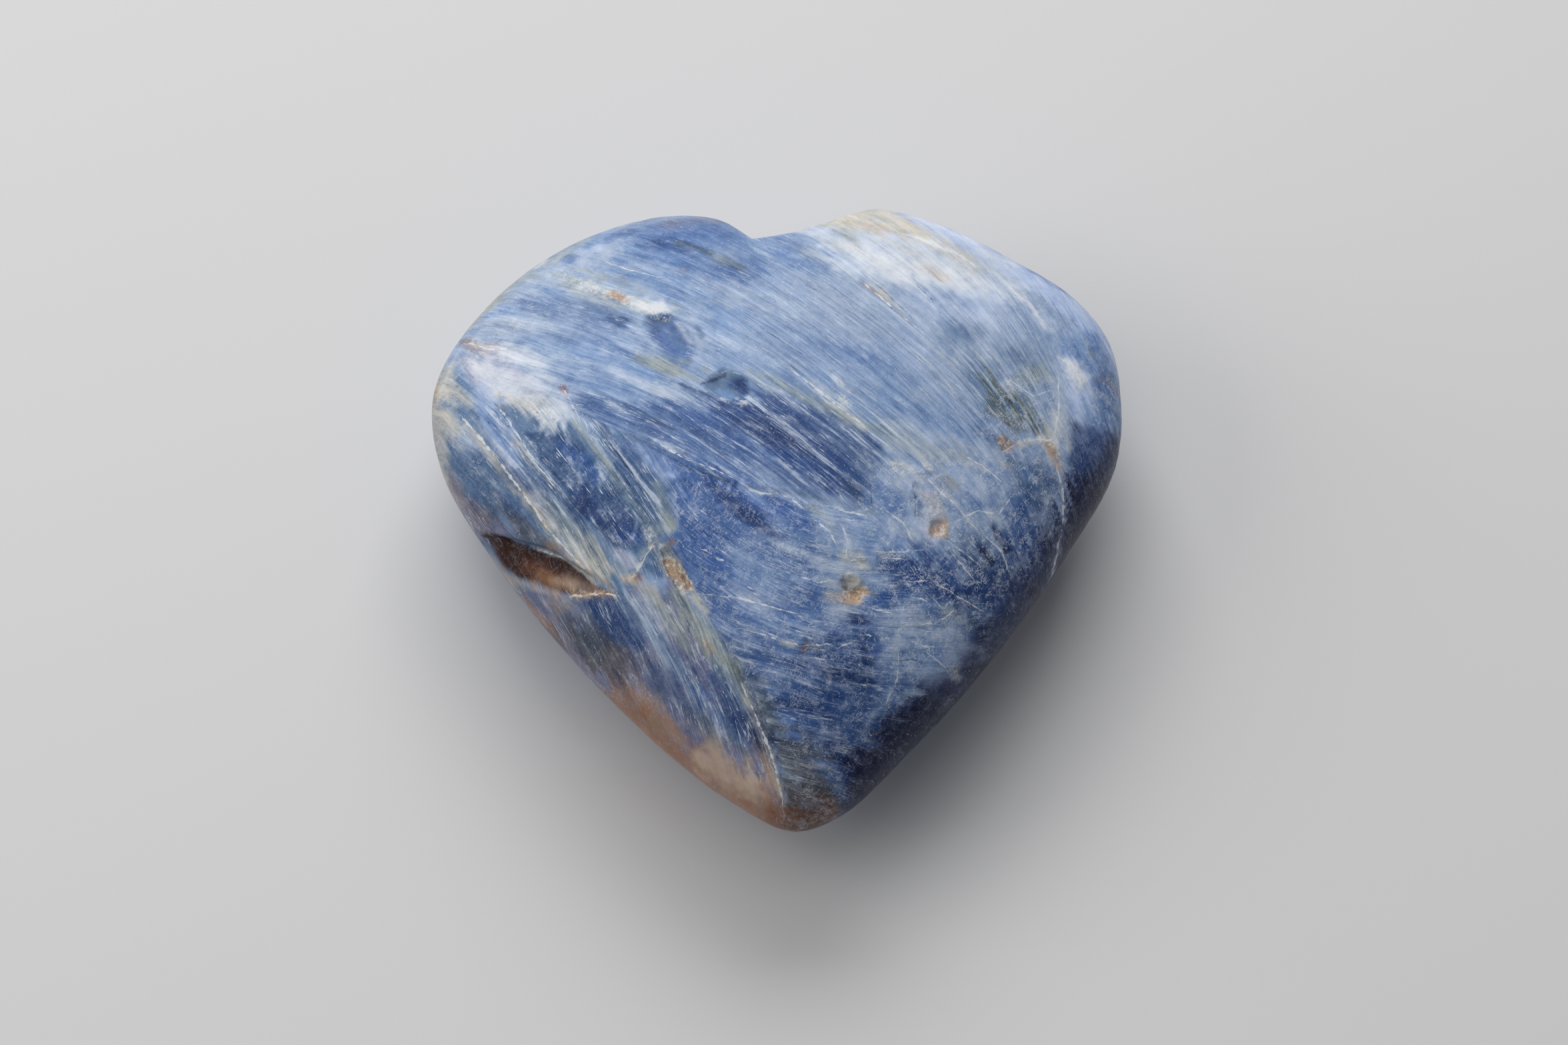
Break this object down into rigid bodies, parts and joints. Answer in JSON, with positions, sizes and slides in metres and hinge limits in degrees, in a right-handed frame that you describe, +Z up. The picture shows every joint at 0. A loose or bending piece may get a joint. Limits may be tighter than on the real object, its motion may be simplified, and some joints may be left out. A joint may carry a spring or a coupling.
{
  "type": "polished kyanite heart stone",
  "caption": "Heart-shaped polished palm stone of banded blue kyanite, domed on both sides, with a chipped brown hollow near one edge.",
  "frame": {"origin": "under the middle of the stone's outline, on the surface it rests on", "axes": "+Z up through the domed crown, +Y from the tip towards the notch, +X across the lobes to the right"},
  "size_m": [0.0619, 0.0584, 0.0245],
  "materials": {
    "kyanite": "silky polish over banded slate-blue to navy blades with pale grey-blue, cream and rust-brown places"
  },
  "bodies": {
    "root": {"kyanite_heart": "kyanite"}
  },
  "joints": []
}
